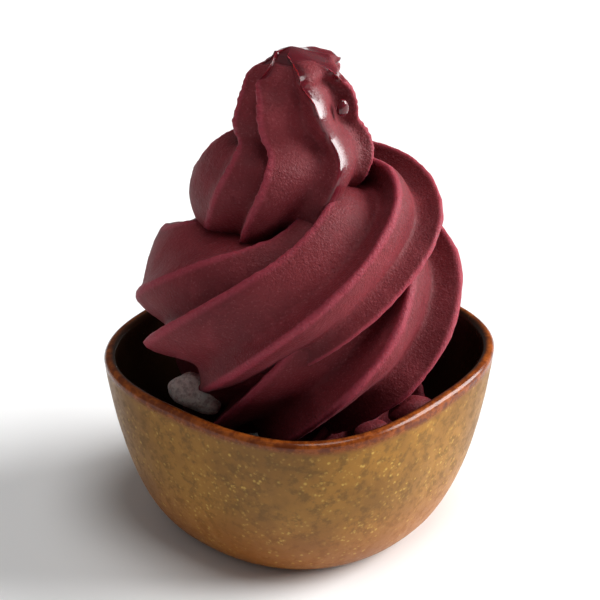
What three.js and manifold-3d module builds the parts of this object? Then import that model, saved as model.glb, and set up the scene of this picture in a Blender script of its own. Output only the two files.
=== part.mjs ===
// A small rounded-square stoneware bowl with a tall swirl of acai soft serve piped into it.
// Millimetres, +Z up, the front of the bowl towards -Y. The origin is on the table under the
// middle of the bowl. The swirl is one six-ridged rope that coils up round the middle.
import * as THREE from 'three';
import { mergeVertices } from 'three/addons/utils/BufferGeometryUtils.js';
import Module from 'manifold-3d';

// ---- bowl ----
const BOWL_HEIGHT = 52;
const BOWL_CORNER_RADIUS = 55; // from the middle to the rim at a corner of the rounded square
const BOWL_FOOT_SHARE = 0.55; // radius of the flat foot, as a share of the rim's
const BOWL_CORNER_TURN = 49.2; // degrees from +X to a corner
const SQUARENESS_FOOT = 2.2; // exponent of the superellipse at the foot, where it is almost round
const SQUARENESS_RIM = 2.8; // the same at the rim
const FLARE = 1.3; // how early the side turns upwards
const BELLY = 2.6; // how full the side is
const WALL = 3.5;
const FLOOR = 5;
const CAVITY_FLOOR_SHARE = 0.5;
const RIM_TILT = 0.7; // the hand-made rim is this much higher on the right than in the middle
const BOWL_SEGMENTS = 64;
const BOWL_LEVELS = 12;
const LIP_STEPS = 4;

// ---- swirl ----
const RIDGES = [0, 54, 113, 151, 213, 290]; // where the nozzle's six ridges stand, in degrees
const RIDGE_HEIGHTS = [0.97, 1, 1, 0.92, 1.01, 1]; // how far each stands out, as a share of the radius
const GAP_FLOORS = [1.15, 0.9, 1, 1.4, 1.1, 1]; // how full the valley after each ridge is
const FULLEST_VALLEY = 0.98; // share of the radius that a valley never passes
const RIDGE_POINTS = 6; // points of the section from one ridge to the next
const RIDGE_POWER = 0.95;
const RIDGE_EDGE = 0.1; // rounding of a ridge's edge
const RIDGE_FLAT = 0.12; // width of a ridge's flat top
const RIDGE_LEAN = 0.22; // radians that a ridge leans over along the coil
const RING_STEP = 10; // degrees of turn from one ring of the rope to the next
const PIECE_TURN = 90; // degrees of turn in one piece of the rope
const FOLD_SHARE = 0.7; // how near the rope's inner side comes to the bend's own middle
const FOLD_SOFTNESS = 1.5;
const CORE_RADIUS = 10;
const CORE_BOTTOM = 3;
const CORE_TOP = 98;
const CORE_SEGMENTS = 20;
const TIP_RISE = 1.6;
const CLEARANCE = 0.3; // gap between the soft serve and the glaze that it rests on

// The rope's path: turn (degrees, -90 is the front), distance of its middle from the axis,
// height, radius over the ridges, climb and added twist (degrees), and the radius in the
// valleys as a share of the ridges'.
const STATIONS = [
  [-810, 16, 20, 19, 5, -30, 0.6],
  [-720, 17, 27, 21, 5, -30, 0.6],
  [-630, 17, 34, 20, 8, -28, 0.6],
  [-540, 17, 42, 18.5, 8, -24, 0.6],
  [-495, 16.5, 48, 19.5, 14, -14, 0.6],
  [-450, 18.5, 55, 21, 24, 0, 0.6],
  [-405, 23, 62.5, 21.5, 28, 11, 0.6],
  [-360, 25, 70, 22, 15, 22, 0.6],
  [-270, 20, 69, 22, 5, 20, 0.6],
  [-180, 22, 70, 21, 8, -3, 0.64],
  [-155, 24, 70, 23.7, 12, 13, 0.64],
  [-135, 25, 71.5, 21.8, 20, 19, 0.62],
  [-90, 25.2, 80, 17.8, 30, 23, 0.6],
  [-45, 22.8, 89.3, 17.8, 30, 19, 0.58],
  [0, 22, 90.6, 18.6, 15, 22, 0.58],
  [90, 15, 91, 18, 10, 8, 0.6],
  [180, 11.5, 99, 17, 35, -30, 0.66],
  [225, 9.2, 106.5, 18.3, 50, -18, 0.7],
  [270, 5, 112, 18.4, 65, -7, 0.74],
  [315, 0.5, 116, 18, 75, -8, 0.76],
  [360, -1.5, 120, 17.6, 82, -8, 0.76],
  [420, -1, 126.5, 16.2, 87, 3, 0.78],
  [480, 0.5, 132.5, 13.8, 89, 16, 0.8],
  [515, -2, 136.4, 10.2, 90, 32, 0.84],
  [540, 2, 139.2, 4, 90, 40, 0.9],
];

const wasm = await Module();
wasm.setup();

const radians = THREE.MathUtils.degToRad;

// A position-only copy of a geometry, its shared vertices merged and empty triangles dropped.
function closedGeometry(geometry) {
  const plain = geometry.clone();
  plain.deleteAttribute('normal');
  plain.deleteAttribute('uv');
  const merged = mergeVertices(plain, 1e-5);
  const index = merged.index.array;
  const kept = [];
  for (let i = 0; i < index.length; i += 3) {
    const [a, b, c] = [index[i], index[i + 1], index[i + 2]];
    if (a !== b && b !== c && c !== a) {
      kept.push(a, b, c);
    }
  }
  merged.setIndex(kept);
  return merged;
}

function toSolid(geometry) {
  return new wasm.Manifold(new wasm.Mesh({
    numProp: 3,
    vertProperties: new Float32Array(geometry.attributes.position.array),
    triVerts: new Uint32Array(geometry.index.array),
  }));
}

// Radius of the rounded-square plan towards an angle, 1 at the corners.
function planShare(angle, squareness) {
  const turned = angle - radians(BOWL_CORNER_TURN);
  const c = Math.abs(Math.cos(turned)) ** squareness;
  const s = Math.abs(Math.sin(turned)) ** squareness;
  return (c + s) ** (-1 / squareness) / 2 ** (0.5 - 1 / squareness);
}

function sideRadius(height, cornerRadius, footShare) {
  const rise = THREE.MathUtils.clamp(height, 0, 1);
  return cornerRadius * (footShare + (1 - footShare) * (1 - (1 - rise) ** FLARE) ** (1 / BELLY));
}

// Turns a profile round the axis, then pulls each ring to the rounded square of its height.
function roundedSquareLathe(profile) {
  const points = profile.map(([radius, z]) => new THREE.Vector2(radius, z));
  const geometry = new THREE.LatheGeometry(points, BOWL_SEGMENTS);
  geometry.rotateX(Math.PI / 2);
  const position = geometry.attributes.position;
  for (let i = 0; i < position.count; i += 1) {
    const [x, y, z] = [position.getX(i), position.getY(i), position.getZ(i)];
    const height = THREE.MathUtils.clamp(z / BOWL_HEIGHT, 0, 1);
    const squareness = THREE.MathUtils.lerp(SQUARENESS_FOOT, SQUARENESS_RIM, height);
    const share = planShare(Math.atan2(y, x), squareness);
    const tilt = RIM_TILT * height * (x * share / BOWL_CORNER_RADIUS);
    position.setXYZ(i, x * share, y * share, z + tilt);
  }
  return closedGeometry(geometry);
}

// Heights packed towards the foot, where the side curves most.
function levels(count) {
  return Array.from({ length: count + 1 }, (_, i) => (i / count) ** 1.8);
}

function bowlGeometry() {
  const lip = WALL / 2;
  const profile = [[0, 0]];
  for (const rise of levels(BOWL_LEVELS)) {
    const z = rise * (BOWL_HEIGHT - lip);
    profile.push([sideRadius(z / BOWL_HEIGHT, BOWL_CORNER_RADIUS, BOWL_FOOT_SHARE), z]);
  }
  for (let i = 1; i < LIP_STEPS; i += 1) {
    const angle = Math.PI * i / LIP_STEPS;
    const middle = BOWL_CORNER_RADIUS - lip;
    const height = BOWL_HEIGHT - lip + lip * Math.sin(angle);
    profile.push([middle + lip * Math.cos(angle), height]);
  }
  const depth = BOWL_HEIGHT - FLOOR;
  for (const rise of levels(BOWL_LEVELS).reverse()) {
    const z = FLOOR + rise * (depth - lip);
    const share = (z - FLOOR) / depth;
    profile.push([sideRadius(share, BOWL_CORNER_RADIUS - WALL, CAVITY_FLOOR_SHARE), z]);
  }
  profile.push([0, FLOOR]);
  return roundedSquareLathe(profile);
}

// The space that the soft serve may fill: the bowl's inside less the clearance, and all above.
function roomGeometry() {
  const depth = BOWL_HEIGHT - FLOOR;
  const radius = BOWL_CORNER_RADIUS - WALL;
  const profile = [[0, FLOOR + CLEARANCE]];
  for (const rise of levels(BOWL_LEVELS)) {
    const z = FLOOR + rise * depth;
    const wide = sideRadius(rise, radius, CAVITY_FLOOR_SHARE) - 2 * CLEARANCE;
    profile.push([wide, z + CLEARANCE]);
  }
  profile.push([radius - 2 * CLEARANCE, BOWL_HEIGHT * 1.05]);
  profile.push([2 * radius, BOWL_HEIGHT * 1.6]);
  profile.push([2 * radius, BOWL_HEIGHT * 4]);
  profile.push([0, BOWL_HEIGHT * 4]);
  return roundedSquareLathe(profile);
}

// One value of the path at a turn, by a cubic through the stations.
function along(turn, column) {
  let i = 0;
  while (i < STATIONS.length - 2 && turn > STATIONS[i + 1][0]) {
    i += 1;
  }
  const at = (k) => STATIONS[k][column];
  const gap = (k) => STATIONS[k + 1][0] - STATIONS[k][0];
  const rate = (k) => (at(k + 1) - at(k)) / gap(k);
  const slope = (k) => {
    if (k === 0) {
      return rate(0);
    }
    if (k === STATIONS.length - 1) {
      return rate(k - 1);
    }
    return (rate(k - 1) * gap(k) + rate(k) * gap(k - 1)) / (gap(k) + gap(k - 1));
  };
  const h = gap(i);
  const t = (turn - STATIONS[i][0]) / h;
  return (2 * t ** 3 - 3 * t ** 2 + 1) * at(i)
    + (t ** 3 - 2 * t ** 2 + t) * h * slope(i)
    + (3 * t ** 2 - 2 * t ** 3) * at(i + 1)
    + (t ** 3 - t ** 2) * h * slope(i + 1);
}

// The section's points as [angle, ridge, height, fullness]: ridge goes from 1 on a ridge to 0 in
// a valley, height is the nearest ridge's and fullness the valley's.
function sectionPoints() {
  const points = [];
  RIDGES.forEach((start, k) => {
    const next = (k + 1) % RIDGES.length;
    const end = RIDGES[next] + (next === 0 ? 360 : 0);
    for (let j = 0; j < RIDGE_POINTS; j += 1) {
      const share = j / RIDGE_POINTS;
      const side = Math.max(0, Math.sin(Math.PI * share) - RIDGE_FLAT) / (1 - RIDGE_FLAT);
      const rounded = Math.hypot(side, RIDGE_EDGE) - RIDGE_EDGE;
      const ridge = 1 - rounded / (Math.hypot(1, RIDGE_EDGE) - RIDGE_EDGE);
      const height = RIDGE_HEIGHTS[share < 0.5 ? k : next];
      points.push([radians(start + (end - start) * share), ridge, height, GAP_FLOORS[k]]);
    }
  });
  return points;
}

// The ring of the rope at a turn. Its inner side is held back from the middle of the bend,
// where the rope would fold through itself.
function ropeRing(turn, section) {
  const [reach, z, radius, climb, twist, valley] = [1, 2, 3, 4, 5, 6].map((c) => along(turn, c));
  const a = radians(turn);
  const rise = radians(climb);
  const outward = new THREE.Vector3(Math.cos(a), Math.sin(a), 0);
  const forward = new THREE.Vector3(-Math.sin(a), Math.cos(a), 0);
  const up = new THREE.Vector3(0, 0, Math.cos(rise)).addScaledVector(forward, -Math.sin(rise));
  const bend = Math.max(1, reach) / Math.max(0.01, Math.cos(rise) ** 2);
  const limit = reach - FOLD_SHARE * bend;
  return section.map(([angle, ridge, height, fullness]) => {
    const around = angle + radians(turn + twist) + RIDGE_LEAN * ridge;
    const low = Math.min(FULLEST_VALLEY, valley * fullness);
    const out = radius * (low + (height - low) * ridge ** RIDGE_POWER);
    const free = reach + out * Math.cos(around) - limit;
    const held = limit + 0.5 * (free + Math.hypot(free, FOLD_SOFTNESS));
    return new THREE.Vector3(0, 0, z)
      .addScaledVector(outward, held)
      .addScaledVector(up, out * Math.sin(around));
  });
}

// A closed length of the rope from one turn to another.
function ropePiece(from, to, section) {
  const count = Math.max(1, Math.round((to - from) / RING_STEP));
  const rings = [];
  for (let i = 0; i <= count; i += 1) {
    rings.push(ropeRing(from + (to - from) * i / count, section));
  }
  const size = section.length;
  const positions = rings.flat().flatMap((point) => point.toArray());
  const index = [];
  for (let i = 0; i < count; i += 1) {
    for (let j = 0; j < size; j += 1) {
      const a = i * size + j;
      const b = i * size + (j + 1) % size;
      index.push(a, b + size, b, a, a + size, b + size);
    }
  }
  const ends = [[rings[0], 0, 0], [rings[count], count * size, to === STATIONS.at(-1)[0] ? 1 : 0]];
  ends.forEach(([ring, first, tip], k) => {
    const middle = new THREE.Vector3();
    ring.forEach((point) => middle.addScaledVector(point, 1 / size));
    middle.z += tip * TIP_RISE;
    const centre = positions.length / 3;
    positions.push(...middle.toArray());
    for (let j = 0; j < size; j += 1) {
      const [a, b] = [first + j, first + (j + 1) % size];
      index.push(...(k === 0 ? [a, b, centre] : [b, a, centre]));
    }
  });
  const geometry = new THREE.BufferGeometry();
  geometry.setAttribute('position', new THREE.Float32BufferAttribute(positions, 3));
  geometry.setIndex(index);
  return geometry;
}

// The largest closed shell of a solid, which leaves out sealed hollows and loose scraps.
function largestShell(solid) {
  const mesh = solid.getMesh();
  const parent = Uint32Array.from({ length: mesh.numVert }, (_, i) => i);
  const root = (i) => {
    let k = i;
    while (parent[k] !== k) {
      parent[k] = parent[parent[k]];
      k = parent[k];
    }
    return k;
  };
  const tris = mesh.triVerts;
  for (let i = 0; i < tris.length; i += 3) {
    parent[root(tris[i + 1])] = root(tris[i]);
    parent[root(tris[i + 2])] = root(tris[i]);
  }
  const corner = (v) => new THREE.Vector3().fromArray(mesh.vertProperties, v * mesh.numProp);
  const volumes = new Map();
  for (let i = 0; i < tris.length; i += 3) {
    const [a, b, c] = [corner(tris[i]), corner(tris[i + 1]), corner(tris[i + 2])];
    const shell = root(tris[i]);
    volumes.set(shell, (volumes.get(shell) ?? 0) + a.dot(b.cross(c)) / 6);
  }
  const [largest] = [...volumes].sort((p, q) => q[1] - p[1])[0];
  const numbers = new Map();
  const positions = [];
  const index = [];
  for (let i = 0; i < tris.length; i += 1) {
    const v = tris[i];
    if (root(v) === largest) {
      if (!numbers.has(v)) {
        numbers.set(v, numbers.size);
        positions.push(...corner(v).toArray());
      }
      index.push(numbers.get(v));
    }
  }
  const geometry = new THREE.BufferGeometry();
  geometry.setAttribute('position', new THREE.Float32BufferAttribute(positions, 3));
  geometry.setIndex(index);
  return geometry;
}

function coreGeometry() {
  const profile = [
    [0, CORE_BOTTOM],
    [CORE_RADIUS, CORE_BOTTOM],
    [CORE_RADIUS, CORE_TOP],
    [0, CORE_TOP + CORE_RADIUS],
  ];
  const points = profile.map(([radius, z]) => new THREE.Vector2(radius, z));
  const geometry = new THREE.LatheGeometry(points, CORE_SEGMENTS);
  geometry.rotateX(Math.PI / 2);
  return closedGeometry(geometry);
}

function softServeGeometry() {
  const section = sectionPoints();
  const first = STATIONS[0][0];
  const last = STATIONS.at(-1)[0];
  const pieces = Math.ceil((last - first) / PIECE_TURN);
  let solid = toSolid(coreGeometry());
  for (let i = 0; i < pieces; i += 1) {
    const from = first + PIECE_TURN * i;
    const to = Math.min(last, from + PIECE_TURN);
    solid = solid.add(toSolid(ropePiece(from, to, section)));
  }
  return largestShell(solid.intersect(toSolid(roomGeometry())));
}

const stoneware = new THREE.MeshStandardMaterial({
  color: 0x9a7434, roughness: 0.35, metalness: 0,
});
const acai = new THREE.MeshStandardMaterial({ color: 0x6b2f3a, roughness: 0.5, metalness: 0 });

const bowl = new THREE.Mesh(bowlGeometry(), stoneware);
bowl.name = 'bowl';
const softServe = new THREE.Mesh(softServeGeometry(), acai);
softServe.name = 'soft_serve';

const group = new THREE.Group();
group.add(bowl, softServe);

export default group;
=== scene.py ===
"""Studio scene of a stoneware bowl of acai soft serve.

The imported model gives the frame. A finely made swirl and bowl stand for its two plain
solids, with procedural materials, soft studio light and a camera at the photograph's angle.
Lengths in the classes are millimetres, and a mesh's points are stored in metres.
"""

import logging
import math
from dataclasses import astuple, dataclass
from enum import Enum
from typing import Iterable, Sequence

import bmesh
import bpy
import numpy as np
from mathutils import Matrix, Vector, noise

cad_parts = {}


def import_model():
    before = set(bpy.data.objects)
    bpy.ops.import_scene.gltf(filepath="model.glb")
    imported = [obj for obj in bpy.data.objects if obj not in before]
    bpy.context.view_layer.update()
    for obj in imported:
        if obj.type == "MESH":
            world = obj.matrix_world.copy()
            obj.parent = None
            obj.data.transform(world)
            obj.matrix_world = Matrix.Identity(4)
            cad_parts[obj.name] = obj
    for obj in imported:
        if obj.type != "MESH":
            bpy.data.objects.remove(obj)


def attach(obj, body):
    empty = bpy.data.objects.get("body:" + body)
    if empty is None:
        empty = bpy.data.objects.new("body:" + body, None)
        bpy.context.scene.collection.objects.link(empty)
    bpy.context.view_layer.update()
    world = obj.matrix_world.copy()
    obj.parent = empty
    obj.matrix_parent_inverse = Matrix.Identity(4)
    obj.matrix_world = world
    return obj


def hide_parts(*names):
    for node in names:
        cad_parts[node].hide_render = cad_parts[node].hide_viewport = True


LOG = logging.getLogger("soft_serve_scene")
MM = 0.001
MERGE_DISTANCE = 0.002  # millimetres within which points of a spun section are one

Colour = tuple[int, int, int]
Place = tuple[float, float, float]


class Slot(Enum):
    """Material slots of the record."""

    BOWL = "bowl_glaze"
    SWIRL = "soft_serve"


class Node(Enum):
    """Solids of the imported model."""

    BOWL = "bowl"
    SWIRL = "soft_serve"


# --------------------------------------------------------------------------- numbers


def clamp(value: float) -> float:
    """Holds a number between 0 and 1.

    Args:
        value: The number.

    Returns:
        The nearest number from 0 to 1.
    """
    return min(1.0, max(0.0, value))


def smooth_step(low: float, high: float, value: float) -> float:
    """A smooth ramp from 0 at low to 1 at high, also where high is the lower number.

    Args:
        low: Value at which the ramp starts.
        high: Value at which it ends.
        value: Value to place on it.

    Returns:
        A share from 0 to 1.
    """
    t = clamp((value - low) / (high - low))
    return t * t * (3 - 2 * t)


@dataclass(frozen=True)
class Bumps:
    """Smooth random bumps of one size, in millimetres."""

    per_mm: float
    height: float
    shift: Place = (0.0, 0.0, 0.0)

    def at(self, point: Vector) -> float:
        """Height of the bumps at a point.

        Args:
            point: The point in millimetres.

        Returns:
            The height, above or below 0.
        """
        return self.height * noise.noise(point * self.per_mm + Vector(self.shift))


# --------------------------------------------------------------------------- sizes


@dataclass(frozen=True)
class BowlSize:
    """Sizes of the rounded-square bowl, the same as the solid's, and how finely it is made.

    Lengths are millimetres and corner_turn is in degrees. The squareness is the plan's
    exponent, flare and belly are the side's, and the rim rises by rim_tilt to the right.
    """

    height: float = 52.0
    corner_radius: float = 55.0
    foot_share: float = 0.55
    corner_turn: float = 49.2
    squareness_foot: float = 2.2
    squareness_rim: float = 2.8
    flare: float = 1.3
    belly: float = 2.6
    wall: float = 3.5
    floor: float = 5.0
    cavity_floor_share: float = 0.5
    rim_tilt: float = 0.7
    segments: int = 192
    levels: int = 44
    level_crowding: float = 1.8
    lip_steps: int = 12
    foot_rings: tuple[float, ...] = (0.0, 12.0, 22.0)
    floor_rings: tuple[float, ...] = (16.0, 0.0)


@dataclass(frozen=True)
class WallWobble:
    """How uneven the thrown wall is, in millimetres.

    inset keeps the uneven wall inside the true one. The wobble fades out below
    fade_height, and there is none within still_radius of the axis.
    """

    soft: Bumps = Bumps(0.035, 0.22)
    grain: Bumps = Bumps(0.16, 0.06, (7.0, 0.0, 0.0))
    inset: float = 0.2
    fade_height: float = 8.0
    still_radius: float = 20.0


@dataclass(frozen=True)
class GlazeEdge:
    """Where the outer glaze gives way to the dark inside and to the brown lip.

    inside_from and inside_to are shares of the wall's thickness. lip_from and lip_to are
    millimetres below the rim, and floor_slack is millimetres below the cavity's floor.
    """

    inside_from: float = 0.45
    inside_to: float = 0.85
    lip_from: float = 1.6
    lip_to: float = 0.6
    floor_slack: float = 0.5


@dataclass(frozen=True)
class Station:
    """One place on the rope's path.

    turn, climb and twist are degrees; reach (from the axis), height and radius millimetres;
    valley is the radius between two ridges as a share of theirs.
    """

    turn: float
    reach: float
    height: float
    radius: float
    climb: float
    twist: float
    valley: float


STATIONS: tuple[Station, ...] = (
    Station(-810, 16, 20, 19, 5, -30, 0.6),
    Station(-720, 17, 27, 21, 5, -30, 0.6),
    Station(-630, 17, 34, 20, 8, -28, 0.6),
    Station(-540, 17, 42, 18.5, 8, -24, 0.6),
    Station(-495, 16.5, 48, 19.5, 14, -14, 0.6),
    Station(-450, 18.5, 55, 21, 24, 0, 0.6),
    Station(-405, 23, 62.5, 21.5, 28, 11, 0.6),
    Station(-360, 25, 70, 22, 15, 22, 0.6),
    Station(-270, 20, 69, 22, 5, 20, 0.6),
    Station(-180, 22.3, 70.8, 21.6, 8, 3, 0.74),
    Station(-155, 24, 70.2, 23.4, 12, 13, 0.7),
    Station(-135, 25, 71.5, 21.8, 20, 19, 0.76),
    Station(-90, 25.2, 80, 17.8, 30, 23, 0.68),
    Station(-45, 22.8, 89.3, 17.8, 30, 19, 0.6),
    Station(0, 22, 90.6, 18.6, 15, 22, 0.58),
    Station(90, 15, 91, 18, 10, 8, 0.6),
    Station(180, 12, 98.6, 17.6, 40, -24, 0.78),
    Station(225, 8.8, 105.6, 18.2, 60, -16, 0.72),
    Station(270, 4.8, 111.2, 19, 77, -8, 0.72),
    Station(315, 0.8, 115.8, 18.7, 85, -8, 0.7),
    Station(360, -1.5, 120.2, 17.6, 88, -8, 0.66),
    Station(420, -1, 126.5, 16.2, 89, 3, 0.6),
    Station(480, 0.5, 132.3, 13.8, 89, 16, 0.62),
    Station(515, -1.6, 136, 10.4, 90, 32, 0.68),
    Station(540, 2, 139, 4.4, 90, 40, 0.9),
)


@dataclass(frozen=True)
class RopeSize:
    """Shape of the six-ridged rope, and how finely it is made.

    ridges are degrees round the section, ridge_heights shares of the radius, and
    gap_floors scale the valley after each ridge. even_share spreads the section's points,
    power, edge and flat round the crests, and lean (radians) turns them along the coil.
    The fold values and steepest keep the rope's inner side from crossing itself. The other
    lengths are millimetres, and ring_step is degrees of turn.
    """

    ridges: tuple[float, ...] = (0, 54, 113, 151, 213, 290)
    ridge_heights: tuple[float, ...] = (0.97, 1.0, 1.0, 0.97, 1.0, 1.0)
    gap_floors: tuple[float, ...] = (1.08, 1.02, 0.98, 1.25, 1.14, 1.0)
    fullest_valley: float = 0.98
    ridge_points: int = 24
    even_share: float = 0.35
    power: float = 0.95
    edge: float = 0.08
    flat: float = 0.04
    lean: float = 0.22
    ring_step: float = 2.4
    fold_share: float = 0.7
    fold_softness: float = 1.5
    least_reach: float = 3.0
    steepest: float = 0.01
    tip_rise: float = 1.6
    core_radius: float = 10.0
    core_bottom: float = 3.0
    core_top: float = 98.0
    core_sides: int = 32
    floor_gap: float = 0.3
    wall_gap: float = 0.6


@dataclass(frozen=True)
class SwirlRelief:
    """Fine relief of the frozen puree, in millimetres.

    The crumbs stand on the ridges, closer to the crest for a higher crumb_focus. inset
    keeps the relief near the plain shape, and melt is the thickness of the melt.
    """

    soft: Bumps = Bumps(0.09, 0.35)
    rough: Bumps = Bumps(0.55, 0.12)
    fine: Bumps = Bumps(1.3, 0.07)
    crumbs: Bumps = Bumps(0.9, 0.32, (3.0, 1.0, 4.0))
    crumb_focus: int = 5
    inset: float = 0.35
    melt: float = 0.8


@dataclass(frozen=True)
class MeltEdge:
    """Edges of the melt, in degrees of turn but for core and cap_waves.

    cap is the turn above which the whole peak is wet, cap_wave how far that edge waves
    and cap_waves how often. fade is the width of an edge, and bow how much higher a run
    ends at its sides than in its middle. core is the wettest share of a run's half width.
    """

    cap: float = 523.0
    cap_wave: float = 5.0
    cap_waves: int = 3
    fade: float = 7.0
    bow: float = 16.0
    core: float = 0.35


@dataclass(frozen=True)
class MeltRun:
    """One run of melt down a ridge of the peak.

    low is the turn where the run ends in a round drop, and half_width is in degrees of the
    section.
    """

    ridge: int
    low: float
    half_width: float


MELT_RUNS: tuple[MeltRun, ...] = (
    MeltRun(1, 408.0, 9.0),
    MeltRun(1, 232.0, 5.0),
    MeltRun(2, 490.0, 9.0),
    MeltRun(0, 476.0, 16.0),
    MeltRun(3, 500.0, 10.0),
    MeltRun(4, 484.0, 9.0),
    MeltRun(5, 468.0, 11.0),
)


@dataclass(frozen=True)
class Bead:
    """A bead of melt, in millimetres.

    out is the way that it faces, and radii are its half sizes outwards, across and up.
    sag is the share by which its foot is wider and its top narrower.
    """

    name: str
    middle: Place
    out: Place
    radii: Place
    sag: float = 0.22
    sides: int = 32
    rings: int = 20


BEAD = Bead("melt_bead", (11.2, -9.0, 126.4), (0.75, -0.66, 0.0), (1.3, 1.9, 2.4))


@dataclass(frozen=True)
class Lump:
    """A small scrap of soft serve that sticks to the coil, in millimetres.

    tilt turns it, in degrees, in the plane that faces the photo, and frost is the share
    of it that white frost covers.
    """

    name: str
    middle: Place
    radii: Place
    tilt: float = 0.0
    frost: float = 0.0


LUMPS: tuple[Lump, ...] = (
    Lump("scrap_front", (19.0, -36.0, 45.0), (5.0, 3.6, 2.9), -14.0),
    Lump("scrap_right", (30.0, -28.0, 46.4), (6.0, 4.2, 3.6), -20.0),
    Lump("scrap_frosted", (-28.0, -19.0, 47.2), (7.6, 5.0, 5.2), 24.0, 1.0),
)
LUMP_BUMPS: tuple[Bumps, ...] = (Bumps(0.13, 0.3), Bumps(0.4, 0.045), Bumps(1.6, 0.012))
LUMP_SUBDIVISIONS = 5


# --------------------------------------------------------------------------- shapes


class BowlShape:
    """The bowl's rounded-square plan and its side."""

    def __init__(self, size: BowlSize) -> None:
        self.size = size

    def plan_share(self, angle: float, squareness: float) -> float:
        """Radius of the plan towards an angle, 1 at the corners.

        Args:
            angle: Direction in radians.
            squareness: Exponent of the superellipse.

        Returns:
            The radius as a share of the corner's.
        """
        turned = angle - math.radians(self.size.corner_turn)
        both = abs(math.cos(turned)) ** squareness + abs(math.sin(turned)) ** squareness
        return both ** (-1 / squareness) / 2 ** (0.5 - 1 / squareness)

    def side_radius(self, rise: float, corner: float, foot_share: float) -> float:
        """Radius of the side at a share of its height.

        Args:
            rise: Share of the height, 0 at the foot and 1 at the rim.
            corner: Radius at the rim.
            foot_share: Radius at the foot as a share of the rim's.

        Returns:
            The radius in millimetres.
        """
        curve = (1 - (1 - clamp(rise)) ** self.size.flare) ** (1 / self.size.belly)
        return corner * (foot_share + (1 - foot_share) * curve)

    def profile(self) -> list[tuple[float, float]]:
        """The closed section of the wall, from the foot's middle round the lip and back in.

        Returns:
            Pairs of radius and height.
        """
        size = self.size
        lip = size.wall / 2
        rises = [(i / size.levels) ** size.level_crowding for i in range(size.levels + 1)]
        points = [(radius, 0.0) for radius in size.foot_rings]
        for rise in rises:
            z = rise * (size.height - lip)
            points.append((self.side_radius(z / size.height, size.corner_radius, size.foot_share), z))
        for i in range(1, size.lip_steps):
            angle = math.pi * i / size.lip_steps
            middle = size.corner_radius - lip
            points.append((middle + lip * math.cos(angle), size.height - lip + lip * math.sin(angle)))
        depth = size.height - size.floor
        for rise in reversed(rises):
            z = size.floor + rise * (depth - lip)
            share = (z - size.floor) / depth
            inner = size.corner_radius - size.wall
            points.append((self.side_radius(share, inner, size.cavity_floor_share), z))
        points += [(radius, size.floor) for radius in size.floor_rings]
        return points

    def share_at(self, point: Vector) -> float:
        """Radius of the plan at a point's height and towards it.

        Args:
            point: The point in millimetres.

        Returns:
            The radius as a share of the corner's.
        """
        size = self.size
        rise = clamp(point.z / size.height)
        squareness = size.squareness_foot + (size.squareness_rim - size.squareness_foot) * rise
        return self.plan_share(math.atan2(point.y, point.x), squareness)

    def place(self, point: Vector) -> Vector:
        """Moves a point of the turned bowl to the rounded square at its height.

        Args:
            point: Point of the round bowl in millimetres.

        Returns:
            The point of the finished bowl.
        """
        size = self.size
        share = self.share_at(point)
        tilt = size.rim_tilt * clamp(point.z / size.height) * point.x * share / size.corner_radius
        return Vector((point.x * share, point.y * share, point.z + tilt))


class RopePath:
    """The rope's path as a smooth cubic through its stations."""

    def __init__(self, stations: Sequence[Station]) -> None:
        self.table = np.array([astuple(station) for station in stations], dtype=float)
        turns = self.table[:, 0]
        self.gaps = np.diff(turns)
        rates = np.diff(self.table[:, 1:], axis=0) / self.gaps[:, None]
        self.slopes = np.empty_like(self.table[:, 1:])
        self.slopes[0] = rates[0]
        self.slopes[-1] = rates[-1]
        before, after = self.gaps[:-1, None], self.gaps[1:, None]
        self.slopes[1:-1] = (rates[:-1] * before + rates[1:] * after) / (before + after)

    @property
    def first(self) -> float:
        """Turn at which the rope starts, in degrees."""
        return float(self.table[0, 0])

    @property
    def last(self) -> float:
        """Turn at which the rope ends, in degrees."""
        return float(self.table[-1, 0])

    def at(self, turn: float) -> Station:
        """The path's values at a turn.

        Args:
            turn: Degrees round the axis, -90 at the front.

        Returns:
            The station that the cubic gives there.
        """
        i = int(np.clip(np.searchsorted(self.table[:, 0], turn) - 1, 0, len(self.gaps) - 1))
        h = self.gaps[i]
        t = (turn - self.table[i, 0]) / h
        values = (
            (2 * t**3 - 3 * t**2 + 1) * self.table[i, 1:]
            + (t**3 - 2 * t**2 + t) * h * self.slopes[i]
            + (3 * t**2 - 2 * t**3) * self.table[i + 1, 1:]
            + (t**3 - t**2) * h * self.slopes[i + 1]
        )
        return Station(turn, *(float(v) for v in values))


@dataclass(frozen=True)
class SectionPoint:
    """A point of the rope's section.

    angle is in radians; ridge goes from 1 on a ridge down to 0 in a valley; height is the
    nearest ridge's share of the full radius, and floor scales the valley's.
    """

    angle: float
    ridge: float
    height: float
    floor: float


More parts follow.
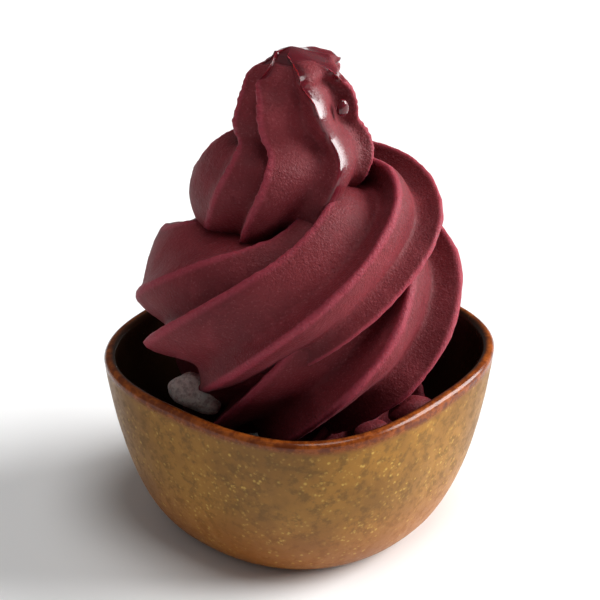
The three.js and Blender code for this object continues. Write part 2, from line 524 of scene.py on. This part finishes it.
class Rope:
    """Rings of the six-ridged rope along its path."""

    def __init__(self, path: RopePath, size: RopeSize, melt: MeltEdge) -> None:
        self.path = path
        self.size = size
        self.melt = melt
        self.section = self._section()

    def _section(self) -> list[SectionPoint]:
        """The section's points, closer together near the crests."""
        size = self.size
        points = []
        widest = math.hypot(1, size.edge) - size.edge
        for k, start in enumerate(size.ridges):
            after = (k + 1) % len(size.ridges)
            end = size.ridges[after] + (360 if after == 0 else 0)
            for j in range(size.ridge_points):
                even = j / size.ridge_points
                crowded = 0.5 - 0.5 * math.cos(math.pi * even)
                share = size.even_share * even + (1 - size.even_share) * crowded
                side = max(0.0, math.sin(math.pi * share) - size.flat) / (1 - size.flat)
                ridge = 1 - (math.hypot(side, size.edge) - size.edge) / widest
                nearest = size.ridge_heights[k if share < 0.5 else after]
                angle = math.radians(start + (end - start) * share)
                points.append(SectionPoint(angle, ridge, nearest, size.gap_floors[k]))
        return points

    def wetness(self, turn: float, mark: SectionPoint) -> float:
        """How much melt covers a point of the rope.

        Args:
            turn: Degrees round the axis.
            mark: The point of the section.

        Returns:
            A share from 0 to 1.
        """
        melt = self.melt
        cap = melt.cap + melt.cap_wave * math.sin(melt.cap_waves * mark.angle)
        share = smooth_step(cap, cap + melt.fade, turn)
        for run in MELT_RUNS:
            from_ridge = math.degrees(mark.angle) - self.size.ridges[run.ridge]
            away = abs((from_ridge + 180) % 360 - 180) / run.half_width
            drop = run.low + melt.bow * away * away
            along = smooth_step(drop, drop + melt.fade, turn)
            share = max(share, smooth_step(1.0, melt.core, away) * along)
        return share

    def ring(self, turn: float) -> list[Vector]:
        """The rope's section at a turn, held back from the middle of the bend.

        Args:
            turn: Degrees round the axis.

        Returns:
            The ring's points in millimetres.
        """
        here = self.path.at(turn)
        size = self.size
        a, rise = math.radians(turn), math.radians(here.climb)
        outward = Vector((math.cos(a), math.sin(a), 0))
        up = Vector((math.sin(a) * math.sin(rise), -math.cos(a) * math.sin(rise), math.cos(rise)))
        bend = max(size.least_reach, here.reach) / max(size.steepest, math.cos(rise) ** 2)
        limit = here.reach - size.fold_share * bend
        points = []
        for mark in self.section:
            around = mark.angle + a + math.radians(here.twist) + size.lean * mark.ridge
            valley = min(size.fullest_valley, here.valley * mark.floor)
            out = here.radius * (valley + (mark.height - valley) * mark.ridge**size.power)
            free = here.reach + out * math.cos(around) - limit
            held = limit + 0.5 * (free + math.hypot(free, size.fold_softness))
            points.append(Vector((0, 0, here.height)) + outward * held + up * (out * math.sin(around)))
        return points


# --------------------------------------------------------------------------- meshes


class Piece:
    """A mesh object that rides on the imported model."""

    def __init__(self, name: str, slot: Slot) -> None:
        self.name = name
        self.slot = slot
        self.mesh = bmesh.new()

    def layer(self, name: str) -> bmesh.types.BMLayerItem:
        """A number on each vertex that the material reads.

        Args:
            name: Name of the attribute.

        Returns:
            The mesh's layer.
        """
        found = self.mesh.verts.layers.float.get(name)
        return found if found is not None else self.mesh.verts.layers.float.new(name)

    def spin(self, section: Iterable[tuple[float, float]], sides: int) -> None:
        """Turns a section round the vertical axis.

        Args:
            section: Pairs of radius and height, from one end to the other.
            sides: Number of steps in the full turn.
        """
        corners = [self.mesh.verts.new((radius, 0, height)) for radius, height in section]
        edges = [self.mesh.edges.new(pair) for pair in zip(corners, corners[1:])]
        bmesh.ops.spin(
            self.mesh,
            geom=corners + edges,
            cent=(0, 0, 0),
            axis=(0, 0, 1),
            angle=math.tau,
            steps=sides,
            use_merge=True,
        )
        bmesh.ops.remove_doubles(self.mesh, verts=self.mesh.verts[:], dist=MERGE_DISTANCE)

    def finish(self, material: bpy.types.Material, replaced: Iterable[Node] = ()) -> bpy.types.Object:
        """Turns the faces outwards, makes the object and ties it to the frame.

        Args:
            material: The piece's material.
            replaced: Solids that the piece stands for.

        Returns:
            The linked object.
        """
        bmesh.ops.recalc_face_normals(self.mesh, faces=self.mesh.faces[:])
        for face in self.mesh.faces:
            face.smooth = True
        data = bpy.data.meshes.new(self.name)
        self.mesh.transform(Matrix.Scale(MM, 4))
        self.mesh.to_mesh(data)
        self.mesh.free()
        data.materials.append(material)
        item = bpy.data.objects.new(self.name, data)
        bpy.context.scene.collection.objects.link(item)
        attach(item, "root")
        for node in replaced:
            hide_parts(node.value)
        LOG.info("%s: %d faces", self.name, len(data.polygons))
        return item


class BowlPiece(Piece):
    """The glazed bowl, spun from its wall's section and pulled to the rounded square."""

    def __init__(self, shape: BowlShape, wobble: WallWobble, edge: GlazeEdge) -> None:
        super().__init__("stoneware_bowl", Slot.BOWL)
        self.shape = shape
        self.spin(shape.profile(), shape.size.segments)
        for vert in self.mesh.verts:
            vert.co = shape.place(vert.co)
        self._wobble(wobble)
        self._mark(edge)

    def _wobble(self, wobble: WallWobble) -> None:
        """Makes the wall as uneven as a thrown one."""
        for vert in self.mesh.verts:
            radial = Vector((vert.co.x, vert.co.y, 0))
            if radial.length < wobble.still_radius:
                continue
            push = wobble.soft.at(vert.co) + wobble.grain.at(vert.co) - wobble.inset
            vert.co += radial.normalized() * push * clamp(vert.co.z / wobble.fade_height)

    def _mark(self, edge: GlazeEdge) -> None:
        """Marks the inside and the lip for the glaze."""
        inside = self.layer("inside")
        lip = self.layer("lip")
        size = self.shape.size
        for vert in self.mesh.verts:
            round_radius = vert.co.xy.length / self.shape.share_at(vert.co)
            rise = vert.co.z / size.height
            outer = self.shape.side_radius(rise, size.corner_radius, size.foot_share)
            in_wall = (outer - round_radius) / size.wall
            in_cavity = vert.co.z > size.floor - edge.floor_slack
            deep = smooth_step(edge.inside_from, edge.inside_to, in_wall)
            vert[inside] = deep if in_cavity else 0.0
            below_rim = size.height - vert.co.z
            vert[lip] = smooth_step(edge.lip_from, edge.lip_to, below_rim)


class SwirlPiece(Piece):
    """The swirl: one six-ridged rope laid round a core, with melt on its peak."""

    def __init__(self, rope: Rope, bowl: BowlShape, relief: SwirlRelief) -> None:
        super().__init__("acai_swirl", Slot.SWIRL)
        self.rope = rope
        self.bowl = bowl
        self.ridge = self.layer("ridge")
        self.melt = self.layer("melt")
        self._core()
        self._lay_rope()
        self._keep_in_bowl()
        self._roughen(relief)

    def _core(self) -> None:
        """Fills the middle of the coil with a pointed post."""
        size = self.rope.size
        section = [(0, size.core_bottom), (size.core_radius, size.core_bottom)]
        section += [(size.core_radius, size.core_top), (0, size.core_top + size.core_radius)]
        self.spin(section, size.core_sides)

    def _lay_rope(self) -> None:
        """Lays the rope, one ring after another, and closes its tip."""
        path = self.rope.path
        count = round((path.last - path.first) / self.rope.size.ring_step)
        turns = [path.first + (path.last - path.first) * i / count for i in range(count + 1)]
        marks = self.rope.section
        made = bmesh.ops.create_circle(self.mesh, cap_ends=True, radius=1, segments=len(marks))
        front, edges = self._loop(made["verts"][0])
        self._set_ring(front, turns[0])
        for turn in turns[1:]:
            grown = bmesh.ops.extrude_edge_only(self.mesh, edges=edges)["geom"]
            new_edges = [g for g in grown if isinstance(g, bmesh.types.BMEdge)]
            front = self._matching(front, grown)
            edges = new_edges
            self._set_ring(front, turn)
        cap = self.mesh.faces.new(front)
        middle = bmesh.ops.poke(self.mesh, faces=[cap])["verts"][0]
        middle.co.z += self.rope.size.tip_rise
        middle[self.melt] = 1.0

    @staticmethod
    def _loop(start: bmesh.types.BMVert) -> tuple[list[bmesh.types.BMVert], list[bmesh.types.BMEdge]]:
        """A circle's points and edges in order, from one of its points."""
        verts, edges = [start], []
        edge = start.link_edges[0]
        while len(edges) < 2 or verts[-1] != start:
            edges.append(edge)
            verts.append(edge.other_vert(verts[-1]))
            edge = next(e for e in verts[-1].link_edges if e != edge)
        return verts[:-1], edges

    @staticmethod
    def _matching(
        front: Sequence[bmesh.types.BMVert], grown: Iterable[object]
    ) -> list[bmesh.types.BMVert]:
        """The new ring's points, in the order of the old ring's."""
        fresh = {g for g in grown if isinstance(g, bmesh.types.BMVert)}
        matched = []
        for vert in front:
            joined = (edge.other_vert(vert) for edge in vert.link_edges)
            matched.append(next(other for other in joined if other in fresh))
        return matched

    def _set_ring(self, verts: Sequence[bmesh.types.BMVert], turn: float) -> None:
        """Moves a ring to its place on the path and marks its ridges and melt."""
        for vert, point, mark in zip(verts, self.rope.ring(turn), self.rope.section):
            vert.co = point
            vert[self.ridge] = mark.ridge
            vert[self.melt] = self.rope.wetness(turn, mark)

    def _keep_in_bowl(self) -> None:
        """Holds the lower coils clear of the bowl's floor and wall."""
        size, rope = self.bowl.size, self.rope.size
        inner = size.corner_radius - size.wall
        for vert in self.mesh.verts:
            if vert.co.z > size.height:
                continue
            vert.co.z = max(vert.co.z, size.floor + rope.floor_gap)
            rise = (vert.co.z - size.floor) / (size.height - size.floor)
            room = self.bowl.side_radius(rise, inner, size.cavity_floor_share) - rope.wall_gap
            reach = vert.co.xy.length / self.bowl.share_at(vert.co)
            if reach > room:
                vert.co.x *= room / reach
                vert.co.y *= room / reach

    def _roughen(self, relief: SwirlRelief) -> None:
        """Adds the puree's fine relief and the thickness of the melt."""
        self.mesh.normal_update()
        moves = []
        for vert in self.mesh.verts:
            point, melt = vert.co, vert[self.melt]
            crumbs = vert[self.ridge] ** relief.crumb_focus * relief.crumbs.at(point)
            dry = relief.rough.at(point) + relief.fine.at(point) + crumbs
            lift = relief.soft.at(point) + dry * (1 - melt) + relief.melt * melt - relief.inset
            moves.append((vert, vert.normal * lift))
        for vert, move in moves:
            vert.co += move


class BeadPiece(Piece):
    """A bead of melt that hangs on the peak."""

    def __init__(self, bead: Bead) -> None:
        super().__init__(bead.name, Slot.SWIRL)
        melt = self.layer("melt")
        bmesh.ops.create_uvsphere(self.mesh, u_segments=bead.sides, v_segments=bead.rings, radius=1)
        turn = Vector(bead.out).to_track_quat("X", "Z").to_matrix()
        middle, radii = Vector(bead.middle), Vector(bead.radii)
        for vert in self.mesh.verts:
            shaped = vert.co * radii
            shaped.y *= 1 - bead.sag * vert.co.z
            vert.co = turn @ shaped + middle
            vert[melt] = 1.0


class LumpPiece(Piece):
    """A scrap of soft serve with an uneven, broken surface."""

    def __init__(self, lump: Lump) -> None:
        super().__init__(lump.name, Slot.SWIRL)
        frost = self.layer("frost")
        bmesh.ops.create_icosphere(self.mesh, subdivisions=LUMP_SUBDIVISIONS, radius=1)
        middle, radii = Vector(lump.middle), Vector(lump.radii)
        turn = Matrix.Rotation(math.radians(lump.tilt), 3, "Y")
        for vert in self.mesh.verts:
            shaped = turn @ (vert.co * radii)
            swell = sum(bumps.at(shaped + middle) for bumps in LUMP_BUMPS)
            vert.co = middle + shaped * (1 + swell)
            vert[frost] = lump.frost


# --------------------------------------------------------------------------- materials


@dataclass(frozen=True)
class PureeColours:
    """Display colours of the frozen puree, from 0 to 255; crest is a painted highlight on the ridges, not
    a colour of the puree.
    """

    deep: Colour = (98, 26, 33)
    plain: Colour = (114, 34, 41)
    patch: Colour = (142, 58, 66)
    # crest: painted highlight, a pale pink that lightens the tops of the ridges
    crest: Colour = (158, 56, 74)
    speck: Colour = (172, 92, 100)
    pore: Colour = (84, 22, 32)
    frost: Colour = (248, 228, 222)
    melt: Colour = (84, 16, 26)
    sheen: Colour = (238, 170, 180)


@dataclass(frozen=True)
class GlazeColours:
    """Display colours of the bowl's glaze, from 0 to 255."""

    ochre: Colour = (122, 81, 20)
    pale_ochre: Colour = (150, 103, 31)
    mottle: Colour = (98, 67, 18)
    foot: Colour = (158, 88, 30)
    crystal: Colour = (212, 174, 84)
    dark_lip: Colour = (94, 40, 10)
    pale_lip: Colour = (140, 70, 20)
    inside: Colour = (44, 26, 14)


@dataclass(frozen=True)
class GlazeHeights:
    """Where the outer glaze changes, in millimetres above the table.

    The orange of the foot grows from foot_from down to foot_to and the brown lip from
    lip_from up to lip_to. lip_wave is how far that edge wanders.
    """

    foot_from: float = 30.0
    foot_to: float = 4.0
    lip_from: float = 47.8
    lip_to: float = 50.2
    lip_wave: float = 4.0


def linear(colour: Colour) -> tuple[float, float, float, float]:
    """A display colour as the linear colour that shaders take.

    Args:
        colour: Red, green and blue from 0 to 255.

    Returns:
        The linear colour with full alpha.
    """
    values = []
    for channel in colour:
        c = channel / 255
        values.append(c / 12.92 if c <= 0.04045 else ((c + 0.055) / 1.055) ** 2.4)
    return (values[0], values[1], values[2], 1.0)


class Graph:
    """A material's node tree with short ways to add what this scene uses."""

    def __init__(self, name: str) -> None:
        self.material = bpy.data.materials.new(name)
        self.material.use_nodes = True
        self.tree = self.material.node_tree
        self.tree.nodes.clear()
        self.shader = self.tree.nodes.new("ShaderNodeBsdfPrincipled")
        out = self.tree.nodes.new("ShaderNodeOutputMaterial")
        self.tree.links.new(self.shader.outputs["BSDF"], out.inputs["Surface"])
        self.place = self.tree.nodes.new("ShaderNodeTexCoord").outputs["Object"]

    def set(self, **values: object) -> None:
        """Sets shader sockets, with underscores for the spaces in their names.

        Args:
            values: Socket names and their values.
        """
        for key, value in values.items():
            self.shader.inputs[key.replace("_", " ")].default_value = value

    def link(self, source: bpy.types.NodeSocket, socket: str) -> None:
        """Links an output to a shader socket.

        Args:
            source: The output.
            socket: Name of the shader's input.
        """
        self.tree.links.new(source, self.shader.inputs[socket])

    def attribute(self, name: str) -> bpy.types.NodeSocket:
        """The number of a vertex attribute.

        Args:
            name: Name of the attribute.

        Returns:
            Its output.
        """
        node = self.tree.nodes.new("ShaderNodeAttribute")
        node.attribute_name = name
        return node.outputs["Fac"]

    def height(self) -> bpy.types.NodeSocket:
        """Height above the table in metres.

        Returns:
            The output.
        """
        node = self.tree.nodes.new("ShaderNodeSeparateXYZ")
        self.tree.links.new(self.place, node.inputs[0])
        return node.outputs["Z"]

    def noise(self, per_metre: float, detail: float = 3, rough: float = 0.5) -> bpy.types.NodeSocket:
        """Fractal noise in the object's own space.

        Args:
            per_metre: Scale of the noise.
            detail: Octaves.
            rough: How strong the fine octaves are.

        Returns:
            The noise from 0 to 1.
        """
        node = self.tree.nodes.new("ShaderNodeTexNoise")
        self.tree.links.new(self.place, node.inputs["Vector"])
        node.inputs["Scale"].default_value = per_metre
        node.inputs["Detail"].default_value = detail
        node.inputs["Roughness"].default_value = rough
        return node.outputs["Fac"]

    def cells(self, per_metre: float) -> bpy.types.NodeSocket:
        """Distance to the nearest of randomly scattered points.

        Args:
            per_metre: Scale of the scatter.

        Returns:
            The distance.
        """
        node = self.tree.nodes.new("ShaderNodeTexVoronoi")
        self.tree.links.new(self.place, node.inputs["Vector"])
        node.inputs["Scale"].default_value = per_metre
        return node.outputs["Distance"]

    def ramp(
        self, source: bpy.types.NodeSocket, low: float, high: float, to_low: float = 0, to_high: float = 1
    ) -> bpy.types.NodeSocket:
        """A smooth ramp of a number between two limits.

        Args:
            source: The number.
            low: Value that gives to_low.
            high: Value that gives to_high.
            to_low: Result at low.
            to_high: Result at high.

        Returns:
            The ramp's output.
        """
        node = self.tree.nodes.new("ShaderNodeMapRange")
        node.interpolation_type = "SMOOTHSTEP"
        self.tree.links.new(source, node.inputs["Value"])
        for key, value in (
            ("From Min", low),
            ("From Max", high),
            ("To Min", to_low),
            ("To Max", to_high),
        ):
            node.inputs[key].default_value = value
        return node.outputs["Result"]

    def math(self, kind: str, a: object, b: object = 0.0) -> bpy.types.NodeSocket:
        """One arithmetic step.

        Args:
            kind: Operation, such as MULTIPLY.
            a: First number or output.
            b: Second number or output.

        Returns:
            The result.
        """
        node = self.tree.nodes.new("ShaderNodeMath")
        node.operation = kind
        for socket, value in zip(node.inputs, (a, b)):
            if isinstance(value, bpy.types.NodeSocket):
                self.tree.links.new(value, socket)
            else:
                socket.default_value = value
        return node.outputs[0]

    def mix(self, share: object, a: object, b: object) -> bpy.types.NodeSocket:
        """Mixes two colours.

        Args:
            share: How much of b, a number or an output.
            a: Colour or output.
            b: Colour or output.

        Returns:
            The mixed colour.
        """
        node = self.tree.nodes.new("ShaderNodeMix")
        node.data_type = "RGBA"
        for socket, value in zip((node.inputs[0], node.inputs[6], node.inputs[7]), (share, a, b)):
            if isinstance(value, bpy.types.NodeSocket):
                self.tree.links.new(value, socket)
            else:
                socket.default_value = value
        return node.outputs[2]

    def bump(self, height: bpy.types.NodeSocket, strength: float, distance: float) -> None:
        """Adds relief that the light shows, on top of any added before.

        Args:
            height: Height of the relief from 0 to 1.
            strength: How much of it shows.
            distance: Real height in millimetres.
        """
        node = self.tree.nodes.new("ShaderNodeBump")
        node.inputs["Strength"].default_value = strength
        node.inputs["Distance"].default_value = distance * MM
        self.tree.links.new(height, node.inputs["Height"])
        before = self.shader.inputs["Normal"]
        if before.is_linked:
            self.tree.links.new(before.links[0].from_socket, node.inputs["Normal"])
        self.tree.links.new(node.outputs["Normal"], before)


def swirl_material() -> bpy.types.Material:
    """Frozen acai puree: burgundy, finely frosted, satin in the valleys, wet at the peak, and lightened
    along the crests as a painted highlight.

    Returns:
        The material.
    """
    g = Graph("acai_puree")
    shade = PureeColours()
    melt = g.attribute("melt")
    ridge = g.attribute("ridge")
    frost = g.attribute("frost")
    broad = g.noise(38, 3)
    patch = g.noise(120, 4, 0.6)
    grain = g.noise(1550, 2, 0.7)
    body = g.mix(g.ramp(broad, 0.35, 0.68), linear(shade.deep), linear(shade.plain))
    body = g.mix(g.ramp(patch, 0.5, 0.75, 0, 0.35), body, linear(shade.patch))
    # Painted highlight: the top of each ridge is lightened towards the crest colour.
    body = g.mix(g.ramp(ridge, 0.85, 1.0, 0, 0.55), body, linear(shade.crest))
    speck = g.ramp(grain, 0.55, 0.75, 0, 0.3)
    body = g.mix(speck, body, linear(shade.speck))
    pore = g.ramp(grain, 0.42, 0.3, 0, 0.45)
    body = g.mix(pore, body, linear(shade.pore))
    rime = g.ramp(g.noise(700, 3, 0.7), 0.35, 0.6, 0.55, 1.0)
    body = g.mix(g.math("MULTIPLY", frost, rime), body, linear(shade.frost))
    body = g.mix(melt, body, linear(shade.melt))
    g.link(body, "Base Color")
    dry = g.ramp(patch, 0.3, 0.7, 0.5, 0.66)
    g.link(g.math("SUBTRACT", dry, g.math("MULTIPLY", melt, 0.46)), "Roughness")
    g.link(g.math("MULTIPLY", melt, 0.6), "Coat Weight")
    g.set(
        Specular_IOR_Level=0.38,
        Coat_Roughness=0.09,
        IOR=1.36,
        Subsurface_Weight=0.3,
        Subsurface_Radius=(1.0, 0.18, 0.15),
        Subsurface_Scale=0.0035,
        Sheen_Weight=0.06,
        Sheen_Roughness=0.4,
        Sheen_Tint=linear(shade.sheen),
    )
    dull = g.math("SUBTRACT", 1.0, melt)
    g.bump(g.math("MULTIPLY", g.noise(420, 3, 0.6), dull), 0.6, 0.45)
    g.bump(g.math("MULTIPLY", grain, dull), 0.9, 0.35)
    pits = g.ramp(g.cells(520), 0.06, 0.2)
    g.bump(g.math("MULTIPLY", pits, dull), 0.4, 0.2)
    return g.material


def glaze_material() -> bpy.types.Material:
    """Reactive glaze: mottled ochre with pale crystals, brown at the lip, dark inside.

    Returns:
        The material.
    """
    g = Graph("reactive_glaze")
    shade, level = GlazeColours(), GlazeHeights()
    height = g.height()
    inside = g.attribute("inside")
    lip = g.attribute("lip")
    cloud = g.noise(45, 4, 0.6)
    mottle = g.noise(320, 6, 0.7)
    flecks = g.noise(900, 3, 0.65)
    base = g.mix(g.ramp(cloud, 0.36, 0.66), linear(shade.ochre), linear(shade.pale_ochre))
    base = g.mix(g.ramp(mottle, 0.46, 0.62, 0, 0.65), base, linear(shade.mottle))
    low = g.ramp(height, level.foot_from * MM, level.foot_to * MM)
    base = g.mix(g.math("MULTIPLY", low, 0.6), base, linear(shade.foot))
    spots = g.ramp(g.cells(620), 0.42, 0.14)
    many = g.ramp(g.noise(90, 4, 0.7), 0.38, 0.6)
    crystal = g.math("MULTIPLY", spots, g.math("MULTIPLY", many, g.ramp(flecks, 0.38, 0.6)))
    base = g.mix(g.math("MULTIPLY", crystal, 0.55), base, linear(shade.crystal))
    wave = g.math("MULTIPLY", g.math("SUBTRACT", cloud, 0.5), level.lip_wave * MM)
    edge = g.math("ADD", height, wave)
    band = g.math("MAXIMUM", g.ramp(edge, level.lip_from * MM, level.lip_to * MM), lip)
    brown = g.mix(g.ramp(mottle, 0.4, 0.62), linear(shade.dark_lip), linear(shade.pale_lip))
    base = g.mix(band, base, brown)
    base = g.mix(inside, base, linear(shade.inside))
    g.link(base, "Base Color")
    shiny = g.math("MAXIMUM", band, inside)
    matt = g.ramp(mottle, 0.35, 0.7, 0.36, 0.5)
    g.link(g.math("SUBTRACT", matt, g.math("MULTIPLY", shiny, 0.22)), "Roughness")
    g.set(Specular_IOR_Level=0.24, Coat_Weight=0.04, Coat_Roughness=0.1, IOR=1.5)
    g.bump(mottle, 0.25, 0.25)
    g.bump(flecks, 0.2, 0.1)
    return g.material


def floor_material() -> bpy.types.Material:
    """Plain pale studio floor.

    Returns:
        The material.
    """
    g = Graph("studio_floor")
    g.set(Base_Color=FLOOR_SHADE, Roughness=0.8, Specular_IOR_Level=0.1)
    return g.material


# --------------------------------------------------------------------------- studio


@dataclass(frozen=True)
class CameraSize:
    """The camera as it stood for the photograph.

    target, distance and nearest, which clips the view, are millimetres, and elevation is
    in degrees. The lens follows from the focal length and the frame in pixels.
    """

    target: Place = (0.11, 0.0, 65.75)
    distance: float = 550.0
    elevation: float = 27.24
    focal_pixels: float = 1984.0
    frame_pixels: float = 600.0
    sensor: float = 36.0
    nearest: float = 10.0


@dataclass(frozen=True)
class Lamp:
    """A soft lamp so far away that it lights the whole table evenly.

    place gives the direction that it shines from, softness is its width in degrees, and
    the lamp stands LAMP_DISTANCE times as far off as place, in millimetres.
    """

    name: str
    place: Place
    strength: float
    softness: float


LAMPS: tuple[Lamp, ...] = (
    Lamp("key", (76, 12, 35), 6.0, 40.0),
    Lamp("fill", (-60, -20, 60), 0.1, 60.0),
    Lamp("window", (16, -10, 90), 1.2, 30.0),
)
LAMP_DISTANCE = 10.0
WORLD_STRENGTH = 0.14
FLOOR_HALF_WIDTH = 6000.0
FLOOR_SHADE = (0.88, 0.88, 0.88, 1.0)
WHITE = (1.0, 1.0, 1.0, 1.0)


class Studio:
    """Floor, light and camera."""

    def __init__(self, camera: CameraSize, lamps: Sequence[Lamp]) -> None:
        self.camera = camera
        self.lamps = lamps

    def build(self) -> None:
        """Adds the floor, the world, the lamps and the camera."""
        self._floor()
        self._world()
        for lamp in self.lamps:
            self._lamp(lamp)
        self._camera()
        view = bpy.context.scene.view_settings
        view.view_transform = "Standard"
        view.look = "None"

    def _floor(self) -> None:
        """Lays the floor at the table's height."""
        mesh = bmesh.new()
        bmesh.ops.create_grid(mesh, x_segments=8, y_segments=8, size=FLOOR_HALF_WIDTH * MM)
        data = bpy.data.meshes.new("studio_floor")
        mesh.to_mesh(data)
        mesh.free()
        data.materials.append(floor_material())
        item = bpy.data.objects.new("studio_floor", data)
        bpy.context.scene.collection.objects.link(item)

    def _world(self) -> None:
        """Lights everything a little from all round."""
        world = bpy.data.worlds.new("studio")
        world.use_nodes = True
        back = world.node_tree.nodes["Background"]
        back.inputs["Color"].default_value = WHITE
        back.inputs["Strength"].default_value = WORLD_STRENGTH
        bpy.context.scene.world = world

    def _lamp(self, lamp: Lamp) -> None:
        """Adds one lamp that points at the middle of the table."""
        data = bpy.data.lights.new(lamp.name, "SUN")
        data.energy = lamp.strength
        data.angle = math.radians(lamp.softness)
        item = bpy.data.objects.new(lamp.name, data)
        place = Vector(lamp.place) * LAMP_DISTANCE * MM
        turned = (-place).to_track_quat("-Z", "Y").to_matrix().to_4x4()
        item.matrix_world = Matrix.Translation(place) @ turned
        bpy.context.scene.collection.objects.link(item)

    def _camera(self) -> None:
        """Adds the camera at the photograph's angle."""
        size = self.camera
        data = bpy.data.cameras.new("photo_camera")
        data.sensor_width = size.sensor
        data.lens = size.focal_pixels / size.frame_pixels * size.sensor
        data.clip_start = size.nearest * MM
        item = bpy.data.objects.new("photo_camera", data)
        lift = math.radians(size.elevation)
        back = Vector((0, -math.cos(lift), math.sin(lift)))
        place = (Vector(size.target) + back * size.distance) * MM
        turned = (-back).to_track_quat("-Z", "Y").to_matrix().to_4x4()
        item.matrix_world = Matrix.Translation(place) @ turned
        bpy.context.scene.collection.objects.link(item)
        bpy.context.scene.camera = item


# --------------------------------------------------------------------------- making


def main() -> None:
    """Builds the bowl, the swirl and the studio."""
    logging.basicConfig(level=logging.INFO)
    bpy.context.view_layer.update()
    shape = BowlShape(BowlSize())
    bowl = BowlPiece(shape, WallWobble(), GlazeEdge())
    bowl.finish(glaze_material(), [Node.BOWL])
    acai = swirl_material()
    rope = Rope(RopePath(STATIONS), RopeSize(), MeltEdge())
    SwirlPiece(rope, shape, SwirlRelief()).finish(acai, [Node.SWIRL])
    BeadPiece(BEAD).finish(acai)
    for lump in LUMPS:
        LumpPiece(lump).finish(acai)
    Studio(CameraSize(), LAMPS).build()


if __name__ == "__main__":
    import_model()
    main()
